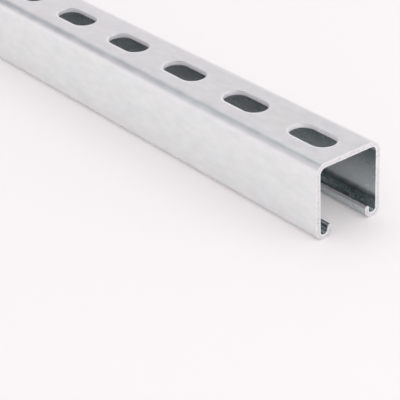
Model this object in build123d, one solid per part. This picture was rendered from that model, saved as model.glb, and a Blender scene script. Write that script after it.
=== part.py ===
from build123d import *
import math
import os

# Half slotted strut channel: one strip of galvanised steel, roll formed to a C with its
# edges turned back in, and punched along the web with evenly spaced slots.
# Millimetres. X runs along the channel, Y across it and +Z up. The channel lies mouth
# down on its two lips, and the origin is the middle of its length and width at floor level.

# Cut length and outside section
length = 609.6
width = 41.3
height = 41.3
strip_thickness = 2.67

# Inside radius of the two bends between the web and the flanges
web_bend_radius = 3.2

# Each lip folds under and back up, leaving a groove between the flange and its upturned
# edge. Its two bends can't take more than this share of the groove's width each.
lip_groove_width = 4.2
lip_edge_height = 7.1
lip_bend_radius = 1.8
groove_share_per_bend = 0.45

# Slitting the strip draws its edge round on the side that faces the mouth
lip_tip_radius = 1.2

# Slots in the web, counted from the end at +X
slot_length = 28.6
slot_width = 14.3
slot_pitch = 50.8
first_slot_from_end = 25.4

# The punch draws the rim of each slot down where it enters the strip
slot_rim_bevel = 0.7

# The saw's burr is dressed off both cut ends
end_bevel = 0.25

# What follows from these
mouth_width = width - 4 * strip_thickness - 2 * lip_groove_width
groove_bend_radius = min(lip_bend_radius, groove_share_per_bend * lip_groove_width)
pattern_room = length - 2 * first_slot_from_end
slot_count = math.floor(round(pattern_room / slot_pitch, 6)) + 1


def web_corners(inset):
    """Where the web's face meets the flanges' faces, before the bends round it off. An
    inset of nought is the outside of the strip, and of its thickness the inside."""
    side, top = width / 2 - inset, height - inset
    return [(side, top), (-side, top)]


def lip_corners(inset):
    """The same for the flange and the fold, and for the fold and its upturned edge."""
    side, edge = width / 2 - inset, mouth_width / 2 + inset
    return [(edge, inset), (side, inset), (-side, inset), (-edge, inset)]


def tip_corners(inset):
    """The ends of the strip's face, at the tips of the lips."""
    edge = mouth_width / 2 + inset
    return [(edge, lip_edge_height), (-edge, lip_edge_height)]


def strip_face(inset):
    """Corners along one face of the strip, from one lip's tip round to the other's."""
    tips, lips, web = tip_corners(inset), lip_corners(inset), web_corners(inset)
    return [tips[0], *lips[:2], *web, *lips[2:], tips[1]]


def round_corners(sketch, places, radius):
    """Turns the sketch's corners at these places into arcs."""
    corners = [sketch.vertices().sort_by_distance(place)[0] for place in places]
    fillet(corners, radius=radius)


def section(plane):
    """The strip's cross-section on a plane."""
    with BuildSketch(plane) as sketch:
        with BuildLine():
            Polyline(*strip_face(0), *reversed(strip_face(strip_thickness)), close=True)
        make_face()
        for inset in (0, strip_thickness):
            extra = strip_thickness - inset
            round_corners(sketch, web_corners(inset), web_bend_radius + extra)
            round_corners(sketch, lip_corners(inset), groove_bend_radius + extra)
        round_corners(sketch, tip_corners(0), lip_tip_radius)
    return sketch.sketch


def slot_centres():
    """Distance of each slot's centre along X, from the +X end inwards."""
    first = length / 2 - first_slot_from_end
    return [first - slot_pitch * number for number in range(slot_count)]


def strut_channel():
    """The whole channel, as one solid."""
    with BuildPart() as channel:
        extrude(section(Plane.YZ.offset(-length / 2)), amount=length)
        with BuildSketch(Plane.XY.offset(height)):
            with Locations(*[(x, 0) for x in slot_centres()]):
                SlotOverall(slot_length, slot_width)
        extrude(amount=-2 * strip_thickness, mode=Mode.SUBTRACT)
        rims = channel.edges(Select.LAST).group_by(Axis.Z)[-1]
        chamfer(rims, length=slot_rim_bevel)
        cut_ends = channel.faces().group_by(Axis.X)
        chamfer(cut_ends[0].edges() + cut_ends[-1].edges(), length=end_bevel)
    return channel.part


os.makedirs("parts", exist_ok=True)
export_step(strut_channel(), "parts/strut_channel.step")
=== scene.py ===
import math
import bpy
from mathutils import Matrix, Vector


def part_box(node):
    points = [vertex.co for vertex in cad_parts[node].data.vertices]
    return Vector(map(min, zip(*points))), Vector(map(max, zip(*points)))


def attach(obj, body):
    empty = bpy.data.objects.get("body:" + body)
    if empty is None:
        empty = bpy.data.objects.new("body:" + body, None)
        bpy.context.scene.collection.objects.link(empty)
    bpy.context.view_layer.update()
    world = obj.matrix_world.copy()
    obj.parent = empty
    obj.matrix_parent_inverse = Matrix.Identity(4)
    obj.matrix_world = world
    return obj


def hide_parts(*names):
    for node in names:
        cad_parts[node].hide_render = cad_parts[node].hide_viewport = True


bl_info = {
    "name": "Half slotted strut channel",
    "version": (1, 0, 0),
    "blender": (4, 5, 0),
    "location": "View3D > Sidebar > Strut",
    "description": "Builds a galvanised half slotted strut channel and the floor it lies on",
    "category": "Object",
}

import bmesh
import bpy
from bpy.props import FloatProperty, FloatVectorProperty, PointerProperty
from mathutils import Matrix, Vector

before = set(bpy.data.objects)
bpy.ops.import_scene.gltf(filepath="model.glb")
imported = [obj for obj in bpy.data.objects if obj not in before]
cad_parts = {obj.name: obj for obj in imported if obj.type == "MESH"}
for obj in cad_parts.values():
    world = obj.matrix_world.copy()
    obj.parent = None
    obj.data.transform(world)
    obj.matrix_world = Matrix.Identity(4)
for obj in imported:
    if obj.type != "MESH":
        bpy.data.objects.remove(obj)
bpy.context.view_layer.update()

CAD_NODE = "strut_channel"
CAD_LOW, CAD_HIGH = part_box(CAD_NODE)

# The finishes of the channel's faces, in the order of its material slots
ZINC_SKIN, SAWN_END, SLIT_EDGE, PUNCHED_WALL = range(4)

# Names of the values that each corner of the mesh carries for the materials: how far it lies
# through the strip, how rubbed and pale it is, part wear and part painted highlight, and how
# much painted shade it gets inside the channel
LOOKS = ("depth_in_strip", "edge_wear_and_highlight", "shaded_inside")


# Sizes and colours that a user would change


def length_setting(name, description, default):
    """A size in metres, shown in the scene's own unit."""
    return FloatProperty(
        name=name, description=description, default=default, unit="LENGTH", precision=5
    )


def colour_setting(name, description, default):
    """A linear colour."""
    return FloatVectorProperty(
        name=name, description=description, default=default, subtype="COLOR", size=3, min=0, max=1
    )


def share_setting(name, description, default):
    """A number from nought to one."""
    return FloatProperty(
        name=name, description=description, default=default, subtype="FACTOR", min=0, max=1
    )


def angle_setting(name, description, degrees):
    """An angle, given in degrees."""
    return FloatProperty(
        name=name, description=description, default=math.radians(degrees), subtype="ANGLE"
    )


class StrutSizes(bpy.types.PropertyGroup):
    """The channel's section and its slots"""

    length: length_setting("Length", "Cut length of the channel", CAD_HIGH.x - CAD_LOW.x)
    width: length_setting("Width", "Outside width across the flanges", CAD_HIGH.y - CAD_LOW.y)
    height: length_setting("Height", "From the lips to the web's face", CAD_HIGH.z - CAD_LOW.z)
    thickness: length_setting("Strip thickness", "Thickness of the rolled strip", 0.00267)
    web_bend: length_setting("Web bend", "Inside radius between web and flange", 0.0032)
    lip_bend: length_setting("Lip bend", "Inside radius of both bends of a lip", 0.0018)
    groove: length_setting("Lip groove", "From a flange to its lip's upturned edge", 0.0042)
    lip_height: length_setting("Lip height", "From the floor to the tip of a lip", 0.0071)
    slot_length: length_setting("Slot length", "Overall length of a slot", 0.0286)
    slot_width: length_setting("Slot width", "Width of a slot", 0.0143)
    slot_pitch: length_setting("Slot pitch", "From one slot's centre to the next", 0.0508)
    first_slot: length_setting("First slot", "From the cut end to the first centre", 0.0254)
    rim_draw: length_setting("Rim draw", "How far out the punch rounds a slot's rim", 0.00058)
    rim_depth: length_setting("Rim depth", "How far down the rounding goes", 0.0010)
    rim_slope: length_setting("Rim slope", "Width of the sloping border round a slot", 0.0004)
    rim_dish: length_setting("Rim dish", "How far the border falls to the rounding", 0.00008)
    rim_shift: FloatVectorProperty(
        name="Rim shift", description="How far the rounding lies off the slot's centre",
        default=(0.00040, -0.00034), size=2, unit="LENGTH", precision=5,
    )
    end_break: length_setting("End break", "Rounding of the sawn ends' edges", 0.00025)
    tip_draw: length_setting("Tip draw", "Rounding of the slit edge on the mouth side", 0.0013)
    tip_depth: length_setting("Tip depth", "How far down that rounding goes", 0.0019)
    tip_slope: length_setting("Tip slope", "How far the slit edge falls to the groove", 0.0009)


class StrutFinish(bpy.types.PropertyGroup):
    """Colours and surface of the galvanised steel"""

    zinc: colour_setting("Zinc", "The zinc coating", (0.847, 0.877, 0.867))
    warm_zinc: colour_setting("Warm zinc", "Its warmer patches", (0.862, 0.867, 0.862))
    cool_zinc: colour_setting("Cool zinc", "Its cooler patches", (0.807, 0.844, 0.860))
    # Painted shade: this darker, cooler colour lies over the inner faces, and over the lips' faces in
    # the mouth, darkest at the floor
    inside_shade_tint: colour_setting("Inner tint", "What the coating keeps of it inside", (0.85, 0.89, 0.91))
    sawn_steel: colour_setting("Sawn steel", "The cut ends", (0.700, 0.710, 0.708))
    # The burr is real; its near-white colour is a painted highlight
    burr_highlight: colour_setting("Burr", "The bright inner edge of the cut ends", (0.96, 0.97, 0.97))
    # Besides the blade's burnish, this colour lies on rubbed edges, part wear and part painted
    # highlight
    burnish_and_highlight: colour_setting("Burnished", "Where a blade pressed the edge smooth", (0.93, 0.94, 0.95))
    torn: colour_setting("Torn", "Where the strip's edge broke away", (0.17, 0.18, 0.20))
    roughness: share_setting("Roughness", "Roughness of the zinc", 0.34)
    mottle: share_setting("Mottle", "How strongly the patches show", 0.45)


class StrutStage(bpy.types.PropertyGroup):
    """The floor, the light and the camera"""

    floor_size: length_setting("Floor size", "Side of the square floor", 12.0)
    floor_colour: colour_setting("Floor", "The paper under the channel", (0.980, 0.951, 0.954))
    fibre_colour: colour_setting("Fibre", "The paper's darker fibres", (0.86, 0.83, 0.84))
    floor_glow: share_setting("Floor glow", "Share of the floor that shows as plain white", 0.20)
    mirrored_glow: share_setting("Mirrored glow", "The same, as the steel reflects it", 0.02)
    wall_colour: colour_setting("Tent wall", "The tent's walls near the floor", (1.0, 0.936, 0.985))
    shade_colour: colour_setting("Tent shade", "The walls under the roof", (0.625, 0.580, 0.598))
    gap_colour: colour_setting("Gap", "The dark gap between its two walls", (0.42, 0.42, 0.46))
    roof_level: FloatProperty(
        name="Tent roof", description="How bright the tent's white roof is", default=1.20, min=0
    )
    mirrored_roof: share_setting("Mirrored roof", "The same, as the steel reflects it", 1.0)
    lamp_power: FloatProperty(
        name="Lamp", description="Power of the softbox", default=1.5, unit="POWER", min=0
    )
    camera_place: FloatVectorProperty(
        name="Camera", description="Where the camera stands",
        default=(0.767608, -0.435837, 0.381289), subtype="TRANSLATION", size=3,
    )
    camera_heading: angle_setting("Heading", "Turn about the vertical", 53.178)
    camera_tilt: angle_setting("Tilt", "Turn up from looking straight down", 60.21)
    camera_roll: angle_setting("Roll", "Turn about the line of sight", -2.971)
    focal_length: FloatProperty(
        name="Focal length", description="In millimetres, for a sensor 36 mm wide",
        default=136.333, min=1,
    )


# How finely the mesh is divided: steps round the bends at the web and at the lips, rows across
# the web and up a flange, and columns along the stretch of channel round each slot

BEND_STEPS, FOLD_STEPS = 12, 8
WEB_ROWS, FLANGE_ROWS, SLOT_COLUMNS = 12, 8, 16


def arc(centre, radius, start, stop, steps):
    """Points and outward directions round an arc, angles in degrees."""
    for step in range(steps + 1):
        angle = math.radians(start + (stop - start) * step / steps)
        out = Vector((math.cos(angle), math.sin(angle)))
        yield Vector(centre) + radius * out, out


def span(start, stop, steps):
    """Evenly spaced numbers, both ends among them."""
    return [start + (stop - start) * step / steps for step in range(steps + 1)]


# The strip's section

# The slit edge where it is drawn round, in the order from the lip's outer face: the angle up
# the rounding, and how rubbed and pale it is there, part wear and part painted highlight
TIP_ROUNDING = ((20, 0.2), (38, 0.7), (54, 1.0), (68, 1.0), (80, 0.8))

# The rest of the slit edge, over to the groove: how far across the strip from its middle, in
# halves of its thickness, the share of the fall that it has made, the angle that it faces,
# and how rubbed and pale it is, part wear and part painted highlight
TIP_FALL = (
    (0.08, 0.0, 90, 0.1),
    (-0.30, 0.0, 90, 0.0),
    (-0.42, 0.06, 105, 0.9),
    (-0.75, 0.45, 130, 1.0),
    (-0.97, 0.90, 160, 0.5),
)

# How rubbed and pale the rounding is on the two lips: a painted highlight along the -Y lip's
# slit edge, none on the other
MINUS_Y_LIP_HIGHLIGHT, PLUS_Y_LIP_HIGHLIGHT = 1.0, 0.0

# How much less painted shade a lip's face in the mouth gets at its tip than at the floor
TIP_SHADE_FADE = 0.3


def strip_middle(sizes):
    """Points along the middle of the strip's thickness with their outward directions, as
    (y, z) pairs, from the +Y lip's tip round to the other. The two numbers are those of the
    first and the last point of the web's flat part."""
    half_strip = sizes.thickness / 2
    web_radius = sizes.web_bend + half_strip
    lip_radius = sizes.lip_bend + half_strip
    side = sizes.width / 2 - half_strip
    top = sizes.height - half_strip
    edge = side - sizes.groove - sizes.thickness
    lip_centre = half_strip + lip_radius
    bend_centre = top - web_radius
    flange = span(lip_centre, bend_centre, FLANGE_ROWS)

    half = [(Vector((edge, sizes.lip_height - sizes.tip_depth)), Vector((-1, 0)))]
    half += arc((edge + lip_radius, lip_centre), lip_radius, 180, 270, FOLD_STEPS)
    half += arc((side - lip_radius, lip_centre), lip_radius, 270, 360, FOLD_STEPS)
    half += [(Vector((side, z)), Vector((1, 0))) for z in flange[1:-1]]
    half += arc((side - web_radius, bend_centre), web_radius, 0, 90, BEND_STEPS)

    other = [(Vector((-p.x, p.y)), Vector((-out.x, out.y))) for p, out in reversed(half)]
    flat = span(half[-1][0].x, -half[-1][0].x, WEB_ROWS)
    web = [(Vector((y, top)), Vector((0, 1))) for y in flat[1:-1]]
    web_first = len(half) - 1
    return half + web + other, web_first, web_first + WEB_ROWS


def leaning(out, up, degrees):
    """A direction turned from out towards up."""
    lean = math.radians(degrees)
    return math.cos(lean) * out + math.sin(lean) * up


def slit_tip(sizes, point, out, rubbed_and_highlit):
    """The slit edge at the end of a lip, from its outer face over to its inner face: drawn
    round where the blade entered, torn flat, and pressed down on the groove side. Each
    point has its outward direction and how rubbed and pale it is; on the rounding that
    is scaled by the lip's share, a painted highlight on the -Y lip."""
    half_strip, draw = sizes.thickness / 2, sizes.tip_draw
    up = Vector((0, 1))
    corner = point + (half_strip - draw) * out
    profile = []
    for angle, wear_and_highlight in TIP_ROUNDING:
        turn = math.radians(angle)
        place = corner + draw * math.cos(turn) * out + sizes.tip_depth * math.sin(turn) * up
        profile.append((place, leaning(out, up, angle), rubbed_and_highlit * wear_and_highlight))
    for across, fall, angle, wear_and_highlight in TIP_FALL:
        rise = sizes.tip_depth - fall * sizes.tip_slope
        place = point + across * half_strip * out + rise * up
        profile.append((place, leaning(out, up, angle), wear_and_highlight))
    groove_side = point - half_strip * out + (sizes.tip_depth - sizes.tip_slope) * up
    profile.append((groove_side, -out, 0.0))
    return profile


def slit_looks(sizes, tip, point, out):
    """Looks of a lip's slit edge, nought deep on its outer face."""
    depths = [0.5 - (place - point).dot(out) / sizes.thickness for place, _, _ in tip]
    return [(depth, wear_and_highlight, 0.0) for depth, (_, _, wear_and_highlight) in zip(depths, tip)]


def outer_looks(sizes, outer):
    """Looks of the strip's outer face, where only the lips' faces in the mouth get painted shade,
    darkest at the floor.
    """
    mouth_side = sizes.width / 2 - sizes.groove - sizes.thickness
    looks = []
    for place, _ in outer:
        in_mouth = abs(place.x) < mouth_side and place.y < sizes.lip_height
        shaded_inside = 1.0 - TIP_SHADE_FADE * place.y / sizes.lip_height if in_mouth else 0.0
        looks.append((0.0, 0.0, shaded_inside))
    return looks


class SectionLoop:
    """The closed line round the strip's section: its corners with their outward directions,
    and the looks and the finish that each carries. It runs along the outer face from the +Y
    lip to the other, over that lip's tip, back along the inner face, and over the first tip."""

    def __init__(self, sizes):
        middle, web_first, web_last = strip_middle(sizes)
        half_strip = sizes.thickness / 2
        outer = [(point + half_strip * out, out) for point, out in middle]
        inner = [(point - half_strip * out, -out) for point, out in middle]
        minus_tip = slit_tip(sizes, *middle[-1], MINUS_Y_LIP_HIGHLIGHT)
        plus_tip = slit_tip(sizes, *middle[0], PLUS_Y_LIP_HIGHLIGHT)[::-1]

        self.count = len(middle)
        self.corners = outer + [corner[:2] for corner in minus_tip]
        self.corners += inner[::-1] + [corner[:2] for corner in plus_tip]
        self.looks = outer_looks(sizes, outer) + slit_looks(sizes, minus_tip, *middle[-1])
        # The inner faces get full painted shade
        self.looks += [(1.0, 0.0, 1.0)] * self.count + slit_looks(sizes, plus_tip, *middle[0])

        inner_first = self.count + len(minus_tip)
        inner_last = inner_first + self.count - 1
        self.inner_of = [inner_last - k for k in range(self.count)]
        slit = {*range(self.count - 1, inner_first), *range(inner_last, len(self.corners))}
        self.finishes = [SLIT_EDGE if k in slit else ZINC_SKIN for k in range(len(self.corners))]
        web_inner = range(self.inner_of[web_last], self.inner_of[web_first])
        self.web = {*range(web_first, web_last), *web_inner}
        self.web_half_width = outer[web_first][0].x

    def at(self, x, inset=0.0):
        """The loop's corners at this place along the channel, shrunk into the steel."""
        places = [corner - inset * out for corner, out in self.corners]
        return [Vector((x, place.x, place.y)) for place in places]

    def looks_with_pale_edges(self, wear_and_highlight):
        """The loop's looks with every corner rubbed pale at least this much, part wear and part
        painted highlight.
        """
        return [(depth, max(own, wear_and_highlight), shaded_inside) for depth, own, shaded_inside in self.looks]


# The channel's mesh

# Corners that agree to this many steps in a metre are one corner
CORNER_STEPS = 1e7

# Edges that turn by more degrees than this stay sharp, and how strongly flat faces keep flat
SHARP_EDGE, FLAT_WEIGHT = 40, 80


class SteelMesh:
    """Collects faces, and shares each corner that faces have in common."""

    def __init__(self):
        self.corners, self.looks = [], []
        self.faces, self.finishes = [], []
        self.number_of = {}

    def corner(self, place, looks):
        """The number of the corner at this place, which is new or an earlier one."""
        key = tuple(round(value * CORNER_STEPS) for value in place)
        if key not in self.number_of:
            self.number_of[key] = len(self.corners)
            self.corners.append(place)
            self.looks.append(looks)
        return self.number_of[key]

    def ring(self, places, looks):
        """The numbers of a row of corners."""
        return [self.corner(place, look) for place, look in zip(places, looks)]

    def face(self, corners, finish):
        """A face, unless its corners have run together."""
        if len(set(corners)) > 2:
            self.faces.append(corners)
            self.finishes.append(finish)

    def band(self, first, second, finishes, skip=()):
        """A band of four-sided faces between two closed rings, with a finish for each."""
        count = len(first)
        for k in range(count):
            if k not in skip:
                after = (k + 1) % count
                self.face([first[k], first[after], second[after], second[k]], finishes[k])

    def to_object(self, name, materials):
        """A Blender object in the scene, whose corners carry their looks as attributes."""
        mesh = bpy.data.meshes.new(name)
        mesh.from_pydata(self.corners, [], self.faces)
        mesh.polygons.foreach_set("material_index", self.finishes)
        for label, values in zip(LOOKS, zip(*self.looks)):
            mesh.attributes.new(label, "FLOAT", "POINT").data.foreach_set("value", values)
        shell = bmesh.new()
        shell.from_mesh(mesh)
        bmesh.ops.recalc_face_normals(shell, faces=shell.faces)
        shell.to_mesh(mesh)
        shell.free()
        for material in materials:
            mesh.materials.append(material)
        mesh.shade_smooth()
        mesh.set_sharp_from_angle(angle=math.radians(SHARP_EDGE))
        thing = bpy.data.objects.new(name, mesh)
        bpy.context.scene.collection.objects.link(thing)
        evening = thing.modifiers.new("Flat faces stay flat", "WEIGHTED_NORMAL")
        evening.keep_sharp = True
        evening.weight = FLAT_WEIGHT
        return thing


# The slots

# The sloping border round a slot, from outside in: how far outside the rounding it lies, in
# widths of the slope, the share of the dish that it has fallen, and how rubbed and pale it is,
# part wear and part painted highlight
RIM_BORDER = ((7, 0.0, 0.0), (2.2, 0.06, 0.1), (1, 0.12, 1.0), (0.5, 0.5, 1.0))

# Angles down the rounding, and the one from which bare punched steel shows
RIM_ROUNDING = (80, 60, 40, 20, 0)
BARE_STEEL_FROM = 40

# The punched wall below the rounding, as shares of the strip's thickness and how far out in
# metres the steel has broken away there, then the break at the inner face, how rubbed and pale
# the wall is, part wear and part painted highlight, and the width of the border round it on
# the inner face
WALL_BREAK = ((0.55, 0.0), (0.70, 0.0), (0.85, 0.00003), (0.97, 0.00006))
INNER_BREAK = 0.00014
WALL_WEAR_AND_HIGHLIGHT = 0.4
INNER_BORDER = 0.0018

# A ring this share of the way through the strip lies on its inner face
INNER_FACE_DEPTH = 0.98

# How rubbed and pale a rim is in the middle, what it gains towards -Y and loses towards -X, and
# the least that is left. The gain and loss by side are painted highlight: brightest along the
# rims' -Y side, dimmest at their -X ends
RIM_WEAR_AND_HIGHLIGHT, HIGHLIGHT_TO_MINUS_Y, HIGHLIGHT_FROM_MINUS_X, LEAST_WEAR_AND_HIGHLIGHT = 0.6, 0.8, 0.5, 0.2

# Where a ring of corners divides the flat web between a slot and its bay's edge, as shares
OUTER_FACE_RING, INNER_FACE_RING = 0.5, 0.45


def slot_centres(sizes):
    """Distance of each slot's centre along the channel, from the +X end inwards."""
    room = sizes.length - 2 * sizes.first_slot
    count = math.floor(round(room / sizes.slot_pitch, 6)) + 1
    first = sizes.length / 2 - sizes.first_slot
    return [first - sizes.slot_pitch * number for number in range(count)]


def slot_bays(sizes):
    """For each slot, the stretch of channel that it has to itself, from the +X end inwards."""
    end = sizes.length / 2 - sizes.end_break
    centres = slot_centres(sizes)
    between = [(a + b) / 2 for a, b in zip(centres, centres[1:])]
    edges = [end, *between, -end]
    return [(low, high, centre) for high, low, centre in zip(edges, edges[1:], centres)]


def bay_outline(low, high, half_width):
    """Points round a bay of the web, in step with slot_outline."""
    across = span(-half_width, half_width, WEB_ROWS)
    along = span(low, high, SLOT_COLUMNS)
    line = [(x, -half_width) for x in along[:-1]]
    line += [(high, y) for y in across[:-1]]
    line += [(x, half_width) for x in reversed(along[1:])]
    return line + [(low, y) for y in reversed(across[1:])]


def slot_outline(sizes, centre, grow, aside):
    """Points round a slot, or round a larger one that lies a share of the rim's shift aside,
    in step with bay_outline."""
    straight = (sizes.slot_length - sizes.slot_width) / 2
    radius = sizes.slot_width / 2 + grow
    middle, shift = centre + aside * sizes.rim_shift[0], aside * sizes.rim_shift[1]
    low, high = middle - straight, middle + straight
    quarter, half = SLOT_COLUMNS // 4, SLOT_COLUMNS // 2

    def bow(x, start, stop, steps):
        return [tuple(place) for place, _ in arc((x, shift), radius, start, stop, steps)]

    line = bow(low, 225, 270, quarter)
    line += [(x, shift - radius) for x in span(low, high, half)[1:-1]]
    line += bow(high, 270, 315, quarter)
    line += bow(high, 315, 405, WEB_ROWS)[1:]
    line += bow(high, 45, 90, quarter)[1:]
    line += [(x, shift + radius) for x in span(high, low, half)[1:-1]]
    line += bow(low, 90, 135, quarter)
    line += bow(low, 135, 225, WEB_ROWS)[1:-1]
    return line


def rim_profile(sizes):
    """From the web's face down through a slot's wall to its inner face: how far outside the
    slot, its share of the rim's shift, how deep, the finish of the band that follows, and
    how rubbed and pale, part wear and part painted highlight."""
    draw, slope, dish = sizes.rim_draw, sizes.rim_slope, sizes.rim_dish
    strip = sizes.thickness
    profile = []
    for reach, fallen, wear_and_highlight in RIM_BORDER:
        profile.append((draw + reach * slope, 1.0, fallen * dish, ZINC_SKIN, wear_and_highlight))
    for angle in RIM_ROUNDING:
        lean = math.radians(angle)
        share = 1 - math.cos(lean)
        down = dish + sizes.rim_depth * (1 - math.sin(lean))
        finish = ZINC_SKIN if angle > BARE_STEEL_FROM else PUNCHED_WALL
        profile.append((draw * share, share, down, finish, 1.0))
    for share, out in WALL_BREAK:
        profile.append((out, 0.0, share * strip, PUNCHED_WALL, WALL_WEAR_AND_HIGHLIGHT))
    profile.append((INNER_BREAK, 0.0, strip, ZINC_SKIN, WALL_WEAR_AND_HIGHLIGHT))
    profile.append((INNER_BORDER, 0.0, strip, ZINC_SKIN, 0.0))
    return profile


def wear_and_highlight_by_side(along, across):
    """How rubbed and pale a slot's rim is at a place on it, from -1 to 1 both ways: most on the
    -Y side, and least at the end towards -X, a painted highlight laid over the rim's wear."""
    rubbed_and_highlit = RIM_WEAR_AND_HIGHLIGHT - HIGHLIGHT_TO_MINUS_Y * across + HIGHLIGHT_FROM_MINUS_X * min(0, along)
    return min(1.0, max(LEAST_WEAR_AND_HIGHLIGHT, rubbed_and_highlit))


def add_web_bay(steel, sizes, low, high, centre, half_width):
    """One slot and the web round it, both faces and the wall between."""
    edge = bay_outline(low, high, half_width)

    def ring(line, down, wear_and_highlight):
        depth = down / sizes.thickness
        # Rings on the web's inner face get full painted shade
        shaded_inside = float(depth > INNER_FACE_DEPTH)
        places, looks = [], []
        for x, y in line:
            # The rubbed, pale finish is weighted by side as a painted highlight
            side = wear_and_highlight_by_side(2 * (x - centre) / sizes.slot_length, 2 * y / sizes.slot_width)
            places.append(Vector((x, y, sizes.height - down)))
            looks.append((depth, wear_and_highlight * side, shaded_inside))
        return steel.ring(places, looks)

    def towards_edge(line, share):
        return [(a + (c - a) * share, b + (d - b) * share) for (a, b), (c, d) in zip(line, edge)]

    profile = rim_profile(sizes)
    lines = [slot_outline(sizes, centre, out, aside) for out, aside, _, _, _ in profile]
    above = [ring(edge, 0, 0), ring(towards_edge(lines[0], OUTER_FACE_RING), 0, 0)]
    rings = [ring(line, down, wear_and_highlight) for line, (_, _, down, _, wear_and_highlight) in zip(lines, profile)]
    below = [
        ring(towards_edge(lines[-1], INNER_FACE_RING), sizes.thickness, 0),
        ring(edge, sizes.thickness, 0),
    ]
    everything = above + rings + below
    finishes = [ZINC_SKIN, ZINC_SKIN, *[finish for _, _, _, finish, _ in profile], ZINC_SKIN]
    for first, second, finish in zip(everything, everything[1:], finishes):
        steel.band(first, second, [finish] * len(first))


# The cut ends and the whole

# Angles round a sawn end's edge, each with how rubbed and pale it is, part wear and part
# painted highlight
END_ROUNDING = ((0, 0.3), (30, 1.0), (60, 1.0), (90, 1.0))

# The sawn face is drawn in by this share of the rounding's size, just short of all of it
END_INSET = 0.999


def add_cut_end(steel, sizes, loop, sign):
    """The rounded edges of a sawn end and its flat face."""
    rings = []
    for angle, wear_and_highlight in END_ROUNDING:
        lean = math.radians(angle)
        x = sign * (sizes.length / 2 - sizes.end_break * (1 - math.sin(lean)))
        inset = sizes.end_break * (1 - math.cos(lean)) * END_INSET
        rings.append(steel.ring(loop.at(x, inset), loop.looks_with_pale_edges(wear_and_highlight)))
    for first, second in zip(rings, rings[1:]):
        steel.band(first, second, loop.finishes)
    face = rings[-1]
    for k in range(loop.count - 1):
        inner, after = loop.inner_of[k], loop.inner_of[k + 1]
        steel.face([face[k], face[k + 1], face[after], face[inner]], SAWN_END)
    steel.face(face[loop.count - 1 : loop.inner_of[-1] + 1], SAWN_END)
    steel.face(face[loop.inner_of[0] :] + face[:1], SAWN_END)


def channel_mesh(sizes):
    """The whole channel as one closed skin."""
    steel = SteelMesh()
    loop = SectionLoop(sizes)
    for low, high, centre in slot_bays(sizes):
        add_web_bay(steel, sizes, low, high, centre, loop.web_half_width)
        rings = [steel.ring(loop.at(x), loop.looks) for x in span(low, high, SLOT_COLUMNS)]
        for first, second in zip(rings, rings[1:]):
            steel.band(first, second, loop.finishes, loop.web)
    for sign in (1, -1):
        add_cut_end(steel, sizes, loop, sign)
    return steel


# Shader nodes


def add(tree, kind, links=(), **settings):
    """A shader node with its settings, its inputs set or linked by name or number."""
    node = tree.nodes.new(kind)
    for key, value in settings.items():
        setattr(node, key, value)
    for key, value in dict(links).items():
        socket = node.inputs[key]
        if isinstance(value, bpy.types.NodeSocket):
            tree.links.new(value, socket)
        else:
            socket.default_value = value
    return node


def computed(tree, operation, first, second):
    """One of the Math node's operations on two values."""
    return add(tree, "ShaderNodeMath", {0: first, 1: second}, operation=operation).outputs[0]


def vector_math(tree, operation, links, output="Vector"):
    """One of the Vector Math node's operations."""
    return add(tree, "ShaderNodeVectorMath", links, operation=operation).outputs[output]


def scaled(tree, vector, scale):
    """The coordinates stretched by three factors."""
    return vector_math(tree, "MULTIPLY", {0: vector, 1: scale})


def noise(tree, vector, scale, detail=2.0, roughness=0.5):
    """Cloudy noise with this many features in a metre."""
    links = {"Vector": vector, "Scale": scale, "Detail": detail, "Roughness": roughness}
    return add(tree, "ShaderNodeTexNoise", links).outputs["Fac"]


def stretch(tree, value, low, high, to_low=0.0, to_high=1.0):
    """The value's range from low to high, stretched over another and clamped."""
    links = {"Value": value, "From Min": low, "From Max": high, "To Min": to_low, "To Max": to_high}
    return add(tree, "ShaderNodeMapRange", links).outputs["Result"]


# Most of a noise's values lie between these
NOISE_LOW, NOISE_HIGH = 0.3, 0.7


def from_noise(tree, value, to_low, to_high):
    """A noise's values, stretched over another range."""
    return stretch(tree, value, NOISE_LOW, NOISE_HIGH, to_low, to_high)


def soft_step(tree, value, low, high):
    """Rises smoothly from nought at low to one at high."""
    links = {"Value": value, "From Min": low, "From Max": high}
    return add(tree, "ShaderNodeMapRange", links, interpolation_type="SMOOTHSTEP").outputs["Result"]


def grey(tree, level):
    """The colour with this level in all three channels."""
    return add(tree, "ShaderNodeCombineColor", {0: level, 1: level, 2: level}).outputs[0]


def blended(tree, share, first, second, mode="MIX"):
    """Two colours blended by a share."""
    links = {0: share, 6: first, 7: second}
    return add(tree, "ShaderNodeMix", links, data_type="RGBA", blend_type=mode).outputs[2]


# Node groups that several finishes use

FLOAT, COLOUR, VECTOR = "NodeSocketFloat", "NodeSocketColor", "NodeSocketVector"

# Noise scales: features in a metre
CLOUDS, PATCHES, PEEL, ROLLED_LINES = 90, 260, 420, 900
EDGE_BREAKS, TORN_RAGS, TORN_GRIT, SAW_STROKES = 700, 800, 1600, 1500
PAPER_FIBRE = 300

# How each noise is drawn out, by stretching its coordinates: a small factor draws it long
LONG_CLOUDS, LONG_PATCHES, ALONG_STRIP = (0.6, 1.0, 1.0), (0.45, 1.0, 1.0), (0.02, 1.0, 1.0)
DOWN_THE_CUT, ACROSS_THE_END = (1.0, 1.0, 0.2), (1.0, 0.12, 1.0)


def new_group(name, inputs, outputs):
    """An empty shader node group with named sockets."""
    group = bpy.data.node_groups.new(name, "ShaderNodeTree")
    for label, kind, default in inputs:
        socket = group.interface.new_socket(label, in_out="INPUT", socket_type=kind)
        if default is not None:
            socket.default_value = default
    for label, kind in outputs:
        group.interface.new_socket(label, in_out="OUTPUT", socket_type=kind)
    return group, group.nodes.new("NodeGroupInput").outputs, group.nodes.new("NodeGroupOutput")


def place_group(tree, group, links):
    """A node group placed in a material, with its own values."""
    return add(tree, "ShaderNodeGroup", links, node_tree=group).outputs


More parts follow.
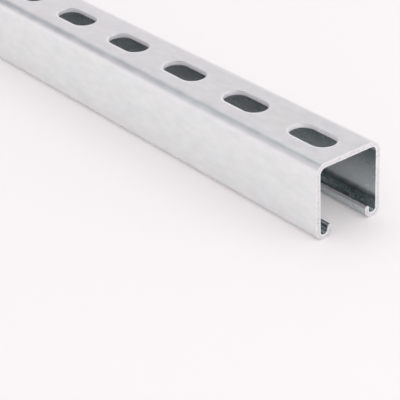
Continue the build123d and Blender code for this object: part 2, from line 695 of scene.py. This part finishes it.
def zinc_mottle_group():
    """Cloudy patches of warmer and cooler zinc, under paler and darker speckles."""
    warm_clouds, cool_clouds = (0.42, 0.68), (0.55, 0.32)
    speckle_levels = (0.965, 1.03)
    inputs = [
        ("Place", VECTOR, None), ("Zinc", COLOUR, None), ("Warm", COLOUR, None),
        ("Cool", COLOUR, None), ("Amount", FLOAT, 0.5),
    ]
    group, given, out = new_group("Zinc mottle", inputs, [("Color", COLOUR), ("Mottle", FLOAT)])
    place = given["Place"]
    clouds = noise(group, scaled(group, place, LONG_CLOUDS), CLOUDS, detail=3.0, roughness=0.55)
    patches = noise(group, scaled(group, place, LONG_PATCHES), PATCHES)
    warm = computed(group, "MULTIPLY", stretch(group, clouds, *warm_clouds), given["Amount"])
    cool = computed(group, "MULTIPLY", stretch(group, clouds, *cool_clouds), given["Amount"])
    tinted = blended(group, warm, given["Zinc"], given["Warm"])
    tinted = blended(group, cool, tinted, given["Cool"])
    speckles = grey(group, from_noise(group, patches, *speckle_levels))
    colour = blended(group, 1.0, tinted, speckles, "MULTIPLY")
    group.links.new(colour, out.inputs["Color"])
    group.links.new(patches, out.inputs["Mottle"])
    return group


def rolled_grain_group():
    """Height of the coating's fine orange peel and of the lines that the rolls leave."""
    inputs = [("Place", VECTOR, None), ("Lines", FLOAT, 0.3), ("Peel", FLOAT, 1.0)]
    group, given, out = new_group("Rolled grain", inputs, [("Height", FLOAT)])
    lines = noise(group, scaled(group, given["Place"], ALONG_STRIP), ROLLED_LINES)
    peel = noise(group, given["Place"], PEEL, roughness=0.45)
    lines = computed(group, "MULTIPLY", lines, given["Lines"])
    peel = computed(group, "MULTIPLY", peel, given["Peel"])
    group.links.new(computed(group, "ADD", lines, peel), out.inputs["Height"])
    return group


def pale_edge_group():
    """Where an edge shows pale, from rubbing by handling and from painted highlight, broken up so
    that it isn't a clean line.
    """
    bare, rubbed_through = 0.32, 0.52
    inputs = [("Place", VECTOR, None), ("Edge", FLOAT, 0.0), ("Strength", FLOAT, 1.0)]
    group, given, out = new_group("Pale edge", inputs, [("Mask", FLOAT)])
    broken = noise(group, given["Place"], EDGE_BREAKS, detail=3.0)
    broken = stretch(group, broken, bare, rubbed_through)
    mask = computed(group, "MULTIPLY", given["Edge"], broken)
    mask = computed(group, "MULTIPLY", mask, given["Strength"])
    group.links.new(mask, out.inputs["Mask"])
    return group


def sheared_edge_group():
    """A blade's or punch's cut through the strip: pressed bright, then torn and dark."""
    raggedness = 0.08
    pressed_roughness, torn_roughness = 0.46, 0.66
    inputs = [
        ("Place", VECTOR, None), ("Depth", FLOAT, 0.0), ("Bright share", FLOAT, 0.45),
        ("Softness", FLOAT, 0.1), ("Burnished", COLOUR, None), ("Torn", COLOUR, None),
    ]
    outputs = [("Color", COLOUR), ("Roughness", FLOAT), ("Height", FLOAT)]
    group, given, out = new_group("Sheared edge", inputs, outputs)
    ragged = noise(group, scaled(group, given["Place"], DOWN_THE_CUT), TORN_RAGS)
    ragged = from_noise(group, ragged, -raggedness, raggedness)
    line = computed(group, "ADD", given["Bright share"], ragged)
    past = computed(group, "SUBTRACT", given["Depth"], line)
    torn = stretch(group, past, 0.0, given["Softness"])
    colour = blended(group, torn, given["Burnished"], given["Torn"])
    roughness = stretch(group, torn, 0, 1, pressed_roughness, torn_roughness)
    grit = noise(group, given["Place"], TORN_GRIT, detail=3.0, roughness=0.6)
    group.links.new(colour, out.inputs["Color"])
    group.links.new(roughness, out.inputs["Roughness"])
    group.links.new(computed(group, "MULTIPLY", grit, torn), out.inputs["Height"])
    return group


# Finishes

# Rubbed places and painted highlights scatter light, so they show pale: what they keep of the
# steel's mirror
PALE_EDGE_METALLIC = 0.25


def new_material(name):
    """A metal with the coordinates and the looks that its corners carry."""
    material = bpy.data.materials.new(name)
    material.use_nodes = True
    tree = material.node_tree
    shader = tree.nodes["Principled BSDF"]
    shader.inputs["Metallic"].default_value = 1.0
    place = add(tree, "ShaderNodeTexCoord").outputs["Object"]
    carried = [add(tree, "ShaderNodeAttribute", attribute_name=label) for label in LOOKS]
    return material, tree, shader, place, *[node.outputs["Fac"] for node in carried]


def opaque(colour):
    """The colour with full alpha."""
    return (*colour, 1.0)


def bump(tree, shader, height, strength, distance):
    """Raises the surface by a height."""
    links = {"Height": height, "Strength": strength, "Distance": distance}
    node = add(tree, "ShaderNodeBump", links)
    tree.links.new(node.outputs["Normal"], shader.inputs["Normal"])


def zinc_skin(finish, groups):
    """The galvanised faces, duller outside than in, with painted shade on the inner faces and
    the lips' faces in the mouth, and rubbed pale along their edges, part wear and part painted
    highlight.
    """
    smoother, duller = 0.03, 0.05
    inner_gloss = 0.10
    rubbed_roughness = 0.24
    rubbed_from, rubbed_to = 0.1, 0.5
    material, tree, shader, place, _, wear_and_highlight, shaded_inside = new_material("galvanised zinc")
    mottle = place_group(tree, groups["mottle"], {
        "Place": place, "Zinc": opaque(finish.zinc), "Warm": opaque(finish.warm_zinc),
        "Cool": opaque(finish.cool_zinc), "Amount": finish.mottle,
    })
    rubbed_and_highlit = place_group(tree, groups["wear_and_highlight"], {"Place": place, "Edge": wear_and_highlight, "Strength": 0.7})
    # Painted shade: the inner faces and the lips' faces in the mouth turn darker and cooler
    painted_inside_shade = blended(tree, shaded_inside, (1, 1, 1, 1), opaque(finish.inside_shade_tint))
    colour = blended(tree, 1.0, mottle["Color"], painted_inside_shade, "MULTIPLY")
    # Rubbed edges turn pale, part wear and part painted highlight
    colour = blended(tree, rubbed_and_highlit["Mask"], colour, opaque(finish.burnish_and_highlight))
    least, most = finish.roughness - smoother, finish.roughness + duller
    rough = from_noise(tree, mottle["Mottle"], least, most)
    rough = computed(tree, "SUBTRACT", rough, stretch(tree, shaded_inside, 0, 1, 0, inner_gloss))
    rough = stretch(tree, rubbed_and_highlit["Mask"], 0, 1, rough, rubbed_roughness)
    metallic = stretch(tree, rubbed_and_highlit["Mask"], rubbed_from, rubbed_to, 1.0, PALE_EDGE_METALLIC)
    grain = place_group(tree, groups["grain"], {"Place": place, "Lines": 0.5, "Peel": 0.8})
    tree.links.new(colour, shader.inputs["Base Color"])
    tree.links.new(rough, shader.inputs["Roughness"])
    tree.links.new(metallic, shader.inputs["Metallic"])
    bump(tree, shader, grain["Height"], strength=0.25, distance=0.00006)
    return material


def sawn_end(finish, groups):
    """The cut ends, brushed by the saw, with a real burr along their inner edge painted near-white
    as a highlight, and edges rubbed pale, part wear and part painted highlight.
    """
    stroke_levels, stroke_roughness = (0.90, 1.04), (0.34, 0.46)
    burr_depths, burr_breaks = (0.72, 0.90), (0.3, 0.5)
    material, tree, shader, place, depth, wear_and_highlight, _ = new_material("sawn steel")
    strokes = scaled(tree, place, ACROSS_THE_END)
    strokes = noise(tree, strokes, SAW_STROKES, detail=3.0, roughness=0.6)
    mottle = place_group(tree, groups["mottle"], {
        "Place": place, "Zinc": opaque(finish.sawn_steel), "Warm": opaque(finish.sawn_steel),
        "Cool": opaque(finish.cool_zinc), "Amount": 0.4,
    })
    rubbed_and_highlit = place_group(tree, groups["wear_and_highlight"], {"Place": place, "Edge": wear_and_highlight, "Strength": 0.5})
    shade = grey(tree, from_noise(tree, strokes, *stroke_levels))
    colour = blended(tree, 1.0, mottle["Color"], shade, "MULTIPLY")
    # The burr's near-white band is a painted highlight on a real burr
    burr_highlight, breaks = stretch(tree, depth, *burr_depths), stretch(tree, strokes, *burr_breaks)
    burr_highlight = computed(tree, "MULTIPLY", burr_highlight, breaks)
    colour = blended(tree, burr_highlight, colour, opaque(finish.burr_highlight))
    colour = blended(tree, rubbed_and_highlit["Mask"], colour, opaque(finish.burnish_and_highlight))
    rough = from_noise(tree, strokes, *stroke_roughness)
    tree.links.new(colour, shader.inputs["Base Color"])
    tree.links.new(rough, shader.inputs["Roughness"])
    bump(tree, shader, strokes, strength=0.3, distance=0.00004)
    return material


def sheared(finish, groups, name, bright_share, softness, metallic):
    """A slit edge or a punched wall, whose dark torn part starts at its own depth."""
    rubbed_to = 0.4
    material, tree, shader, place, depth, wear_and_highlight, _ = new_material(name)
    cut = place_group(tree, groups["sheared"], {
        "Place": place, "Depth": depth, "Bright share": bright_share, "Softness": softness,
        "Burnished": opaque(finish.burnish_and_highlight), "Torn": opaque(finish.torn),
    })
    rubbed_and_highlit = place_group(tree, groups["wear_and_highlight"], {"Place": place, "Edge": wear_and_highlight, "Strength": 0.4})
    # Rubbed places turn pale: wear, with a painted highlight on the -Y lip and the rims' -Y side
    colour = blended(tree, rubbed_and_highlit["Mask"], cut["Color"], opaque(finish.burnish_and_highlight))
    dulled = stretch(tree, rubbed_and_highlit["Mask"], 0, rubbed_to, metallic, PALE_EDGE_METALLIC)
    tree.links.new(colour, shader.inputs["Base Color"])
    tree.links.new(cut["Roughness"], shader.inputs["Roughness"])
    tree.links.new(dulled, shader.inputs["Metallic"])
    bump(tree, shader, cut["Height"], strength=0.5, distance=0.00008)
    return material


def channel_finishes(finish):
    """The channel's materials, in the order of their slots. The punched wall's torn part
    would start at about its inner face, so that the wall stays bright."""
    groups = {
        "mottle": zinc_mottle_group(), "grain": rolled_grain_group(),
        "wear_and_highlight": pale_edge_group(), "sheared": sheared_edge_group(),
    }
    return [
        zinc_skin(finish, groups),
        sawn_end(finish, groups),
        sheared(finish, groups, "slit edge", bright_share=0.30, softness=0.08, metallic=1.0),
        sheared(finish, groups, "punched wall", bright_share=1.05, softness=0.20, metallic=0.10),
    ]


class STRUT_OT_build_channel(bpy.types.Operator):
    """Builds the rolled channel with its folded lips and punched slots"""

    bl_idname = "strut.build_channel"
    bl_label = "Build channel"

    def execute(self, context):
        sizes = context.scene.strut_sizes
        finishes = channel_finishes(context.scene.strut_finish)
        channel = channel_mesh(sizes).to_object("channel_body", finishes)
        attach(channel, "root")
        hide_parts(CAD_NODE)
        return {"FINISHED"}


# The stage

# The dark gap between the tent's two walls: its direction, and how far to each side its soft
# edge and its dark core reach
GAP_AZIMUTH = math.radians(-172)
GAP_EDGE, GAP_CORE = math.radians(30), math.radians(8)

# Heights on the tent, as sines of the elevation: between which two the gap begins, the gap
# ends, the walls darken, and the roof begins
GAP_BEGINS, GAP_ENDS = (0.25, 0.42), (0.95, 0.80)
WALLS_DARKEN, ROOF_BEGINS = (0.20, 0.55), (0.55, 0.80)

# The softbox: where it stands and its two sides, and the width of the camera's sensor in mm
LAMP_PLACE, LAMP_SIDES = (1.2, 0.5, 0.45), (0.8, 0.5)
SENSOR_WIDTH = 36


def paper_floor(stage):
    """A big sheet of pale paper. To the eye and to gloss, part of it is plain white."""
    most_fibre = 0.012
    material = bpy.data.materials.new("pale paper")
    material.use_nodes = True
    tree = material.node_tree
    shader = tree.nodes["Principled BSDF"]
    shader.inputs["Roughness"].default_value = 0.9
    shader.inputs["Specular IOR Level"].default_value = 0.1
    place = add(tree, "ShaderNodeTexCoord").outputs["Object"]
    fibre = from_noise(tree, noise(tree, place, PAPER_FIBRE, detail=3.0), 0, most_fibre)
    colour = blended(tree, fibre, opaque(stage.floor_colour), opaque(stage.fibre_colour))
    tree.links.new(colour, shader.inputs["Base Color"])
    glow = add(tree, "ShaderNodeEmission", {"Color": opaque(stage.floor_colour), "Strength": 1.0})
    path = add(tree, "ShaderNodeLightPath").outputs
    mirrored = computed(tree, "MAXIMUM", path["Is Glossy Ray"], path["Is Transmission Ray"])
    mirrored = computed(tree, "MULTIPLY", mirrored, stage.mirrored_glow)
    seen = computed(tree, "MULTIPLY", path["Is Camera Ray"], stage.floor_glow)
    share = computed(tree, "MAXIMUM", seen, mirrored)
    mixed = add(tree, "ShaderNodeMixShader", {0: share})
    tree.links.new(shader.outputs[0], mixed.inputs[1])
    tree.links.new(glow.outputs[0], mixed.inputs[2])
    tree.links.new(mixed.outputs[0], tree.nodes["Material Output"].inputs["Surface"])
    return material


def lay_floor(stage):
    """The square floor, with its middle under the channel."""
    half = stage.floor_size / 2
    corners = [(-half, -half, 0), (half, -half, 0), (half, half, 0), (-half, half, 0)]
    mesh = bpy.data.meshes.new("floor")
    mesh.from_pydata(corners, [], [(0, 1, 2, 3)])
    mesh.materials.append(paper_floor(stage))
    floor = bpy.data.objects.new("floor", mesh)
    bpy.context.scene.collection.objects.link(floor)


def gap_mask(tree, way, height):
    """Where the dark gap between the tent's two walls shows."""
    towards = (math.cos(GAP_AZIMUTH), math.sin(GAP_AZIMUTH), 0)
    level = vector_math(tree, "NORMALIZE", {0: scaled(tree, way, (1, 1, 0))})
    facing = vector_math(tree, "DOT_PRODUCT", {0: level, 1: towards}, "Value")
    gap = soft_step(tree, facing, math.cos(GAP_EDGE), math.cos(GAP_CORE))
    gap = computed(tree, "MULTIPLY", gap, soft_step(tree, height, *GAP_BEGINS))
    return computed(tree, "MULTIPLY", gap, soft_step(tree, height, *GAP_ENDS))


def light_tent(stage):
    """A white tent all round, with a dark upright gap where its two walls don't meet. Its
    roof lights the scene a little above white, and the steel mirrors it as plain white."""
    world = bpy.data.worlds.new("light tent")
    bpy.context.scene.world = world
    world.use_nodes = True
    tree = world.node_tree
    way = add(tree, "ShaderNodeTexCoord").outputs["Generated"]
    height = add(tree, "ShaderNodeSeparateXYZ", {0: way}).outputs["Z"]
    path = add(tree, "ShaderNodeLightPath").outputs
    white = stretch(tree, path["Is Glossy Ray"], 0, 1, stage.roof_level, stage.mirrored_roof)
    shade = stretch(tree, height, *WALLS_DARKEN)
    colour = blended(tree, shade, opaque(stage.wall_colour), opaque(stage.shade_colour))
    colour = blended(tree, soft_step(tree, height, *ROOF_BEGINS), colour, grey(tree, white))
    colour = blended(tree, gap_mask(tree, way, height), colour, opaque(stage.gap_colour))
    colour = blended(tree, path["Is Camera Ray"], colour, opaque(stage.floor_colour))
    tree.links.new(colour, tree.nodes["Background"].inputs["Color"])
    tree.nodes["Background"].inputs["Strength"].default_value = 1.0


def softbox(stage):
    """One wide lamp that faces the cut end from beside the camera."""
    lamp = bpy.data.objects.new("softbox", bpy.data.lights.new("softbox", "AREA"))
    lamp.data.shape = "RECTANGLE"
    lamp.data.size, lamp.data.size_y = LAMP_SIDES
    lamp.data.energy = stage.lamp_power
    lamp.location = LAMP_PLACE
    lamp.rotation_euler = (-lamp.location).to_track_quat("-Z", "Y").to_euler()
    bpy.context.scene.collection.objects.link(lamp)


def place_camera(stage):
    """The camera, fitted to the photograph's view."""
    camera = bpy.data.objects.new("camera", bpy.data.cameras.new("camera"))
    camera.data.sensor_width = SENSOR_WIDTH
    camera.data.lens = stage.focal_length
    turn = Matrix.Rotation(stage.camera_heading, 4, "Z")
    turn @= Matrix.Rotation(stage.camera_tilt, 4, "X")
    turn @= Matrix.Rotation(stage.camera_roll, 4, "Z")
    camera.matrix_world = Matrix.Translation(stage.camera_place) @ turn
    bpy.context.scene.collection.objects.link(camera)
    bpy.context.scene.camera = camera


class STRUT_OT_build_stage(bpy.types.Operator):
    """Lays the floor and sets the light and the camera"""

    bl_idname = "strut.build_stage"
    bl_label = "Build stage"

    def execute(self, context):
        stage = context.scene.strut_stage
        lay_floor(stage)
        light_tent(stage)
        softbox(stage)
        place_camera(stage)
        context.scene.view_settings.view_transform = "Standard"
        return {"FINISHED"}


class STRUT_PT_panel(bpy.types.Panel):
    """The channel's sizes and finish, and the buttons that build it"""

    bl_idname = "STRUT_PT_panel"
    bl_label = "Strut channel"
    bl_space_type = "VIEW_3D"
    bl_region_type = "UI"
    bl_category = "Strut"

    def draw(self, context):
        for title, settings in (
            ("Sizes", context.scene.strut_sizes),
            ("Finish", context.scene.strut_finish),
            ("Stage", context.scene.strut_stage),
        ):
            box = self.layout.box()
            box.label(text=title)
            for name in settings.__annotations__:
                box.prop(settings, name)
        self.layout.operator(STRUT_OT_build_channel.bl_idname)
        self.layout.operator(STRUT_OT_build_stage.bl_idname)


CLASSES = (
    StrutSizes, StrutFinish, StrutStage,
    STRUT_OT_build_channel, STRUT_OT_build_stage, STRUT_PT_panel,
)


def register():
    for cls in CLASSES:
        bpy.utils.register_class(cls)
    bpy.types.Scene.strut_sizes = PointerProperty(type=StrutSizes)
    bpy.types.Scene.strut_finish = PointerProperty(type=StrutFinish)
    bpy.types.Scene.strut_stage = PointerProperty(type=StrutStage)


def unregister():
    del bpy.types.Scene.strut_stage
    del bpy.types.Scene.strut_finish
    del bpy.types.Scene.strut_sizes
    for cls in reversed(CLASSES):
        bpy.utils.unregister_class(cls)


def main():
    register()
    bpy.ops.strut.build_channel()
    bpy.ops.strut.build_stage()


if __name__ == "__main__":
    main()
